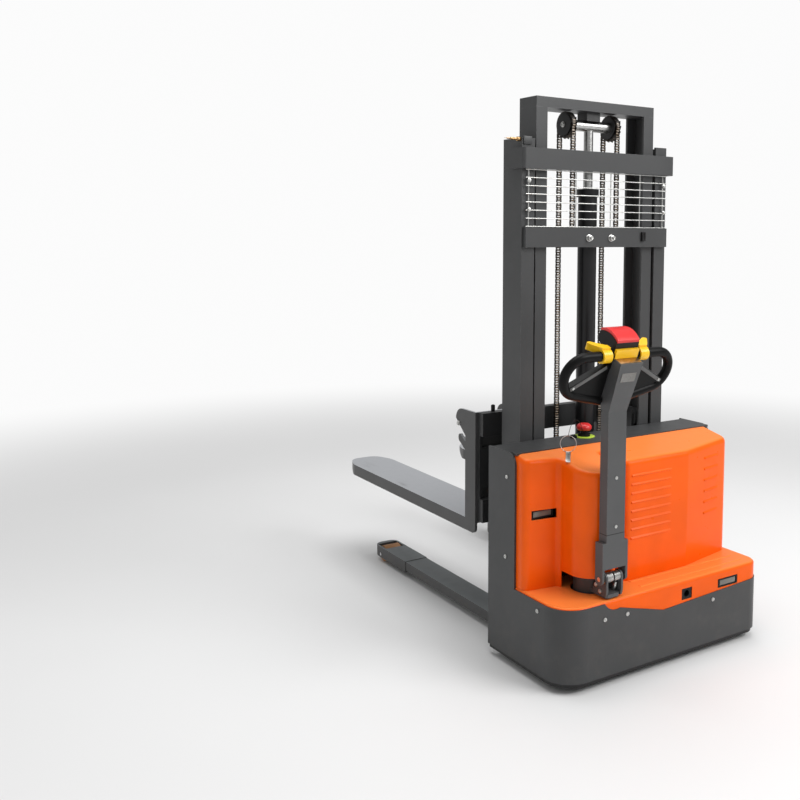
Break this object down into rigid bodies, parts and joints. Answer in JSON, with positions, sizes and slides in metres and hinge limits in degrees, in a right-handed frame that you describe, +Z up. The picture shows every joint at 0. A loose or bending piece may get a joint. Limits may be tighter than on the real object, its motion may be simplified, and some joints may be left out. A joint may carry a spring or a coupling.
{
  "type": "electric_stacker",
  "caption": "Walk-behind electric stacker with a grey two-stage mast, channel forks over straddle legs, orange covers and an offset tiller arm",
  "frame": {"origin": "on the floor, midway between the rearmost and foremost points and between the two sides", "axes": "+Z is up, +Y points to the fork tips, +X is to the right of an operator who stands behind the machine and looks along +Y"},
  "size_m": [0.972, 1.9257, 2.048],
  "materials": {
    "frame_grey": "satin",
    "cover_orange": "satin",
    "mast_grey": "satin",
    "fork_grey": "satin",
    "wire_zinc": "dull",
    "rod_chrome": "polished",
    "chain_steel": "oiled",
    "zinc_steel": "dull",
    "wheel_tan": "matte",
    "wheel_black": "matte",
    "tiller_grey": "satin",
    "black_plastic": "matte",
    "red_plastic": "gloss",
    "yellow_plastic": "gloss",
    "battery_black": "matte"
  },
  "bodies": {
    "chassis": {"chassis_frame": "frame_grey", "deck_plate": "frame_grey", "front_bulkhead": "frame_grey", "top_shelf": "frame_grey", "step_cover": "cover_orange", "upper_cover": "cover_orange", "hour_display": "black_plastic", "stop_collar": "black_plastic", "stop_button": "red_plastic", "charging_socket": "black_plastic", "battery_gauge": "black_plastic", "battery_pack": "battery_black", "outer_rail_left": "mast_grey", "outer_rail_right": "mast_grey", "mast_foot_plate": "mast_grey", "upper_band": "mast_grey", "lower_band": "mast_grey", "mesh_guard": "wire_zinc", "cylinder_barrel": "mast_grey", "cylinder_cap": "mast_grey", "chain_back_left": "chain_steel", "chain_back_right": "chain_steel", "chain_anchor_left": "mast_grey", "chain_anchor_right": "mast_grey", "leg_left": "fork_grey", "leg_right": "fork_grey", "load_axle_left": "rod_chrome", "load_axle_right": "rod_chrome", "caster_mount": "frame_grey"},
    "inner_mast": {"inner_rail_left": "mast_grey", "inner_rail_right": "mast_grey", "top_beam": "mast_grey", "inner_tie": "mast_grey", "piston_rod": "rod_chrome", "chain_sheaves": "chain_steel", "chain_wraps": "chain_steel"},
    "carriage": {"fork_carriage": "fork_grey", "fork_left": "fork_grey", "fork_right": "fork_grey", "chain_front_left": "chain_steel", "chain_front_right": "chain_steel"},
    "steering": {"drive_unit": "frame_grey", "steering_bracket": "frame_grey"},
    "tiller": {"tiller_arm": "tiller_grey", "tiller_pin": "rod_chrome", "handle_left": "black_plastic", "handle_right": "black_plastic", "control_head": "black_plastic", "belly_button": "red_plastic", "throttle": "yellow_plastic"},
    "drive_wheel": {"drive_wheel": "wheel_black"},
    "load_wheel_left": {"load_wheel_left": "wheel_tan"},
    "load_wheel_right": {"load_wheel_right": "wheel_tan"},
    "caster": {"caster_fork": "zinc_steel"},
    "caster_wheel": {"caster_wheel": "wheel_tan"}
  },
  "joints": [
    {"name": "mast_lift", "type": "slide", "parent": "chassis", "child": "inner_mast", "axis": [0, 0, 1], "range_m": [-0.168, 1.1], "deforming": ["chain_back_left", "chain_back_right"]},
    {"name": "carriage_lift", "type": "slide", "parent": "inner_mast", "child": "carriage", "axis": [0, 0, 1], "range_m": [-0.168, 1.1], "deforming": ["chain_front_left", "chain_front_right"]},
    {"name": "steer", "type": "hinge", "parent": "chassis", "child": "steering", "pos_m": [-0.249, -0.757, 0.25], "axis": [0, 0, 1], "range_deg": [-90, 45]},
    {"name": "tiller_tilt", "type": "hinge", "parent": "steering", "child": "tiller", "pos_m": [-0.249, -0.873, 0.372], "axis": [1, 0, 0], "range_deg": [0, 80], "stiffness_Nm_per_rad": 20, "springref_deg": -20.05},
    {"name": "drive_roll", "type": "hinge", "parent": "steering", "child": "drive_wheel", "pos_m": [-0.249, -0.757, 0.105], "axis": [1, 0, 0], "continuous": true},
    {"name": "load_roll_left", "type": "hinge", "parent": "chassis", "child": "load_wheel_left", "pos_m": [-0.312, 0.657, 0.037], "axis": [1, 0, 0], "continuous": true},
    {"name": "load_roll_right", "type": "hinge", "parent": "chassis", "child": "load_wheel_right", "pos_m": [0.312, 0.657, 0.037], "axis": [1, 0, 0], "continuous": true},
    {"name": "caster_swivel", "type": "hinge", "parent": "chassis", "child": "caster", "pos_m": [0.3, -0.72, 0.22], "axis": [0, 0, 1], "continuous": true},
    {"name": "caster_roll", "type": "hinge", "parent": "caster", "child": "caster_wheel", "pos_m": [0.3, -0.756, 0.062], "axis": [1, 0, 0], "continuous": true}
  ],
  "couplings": [
    {"joint": "carriage_lift", "follows": "mast_lift", "ratio": 1}
  ]
}
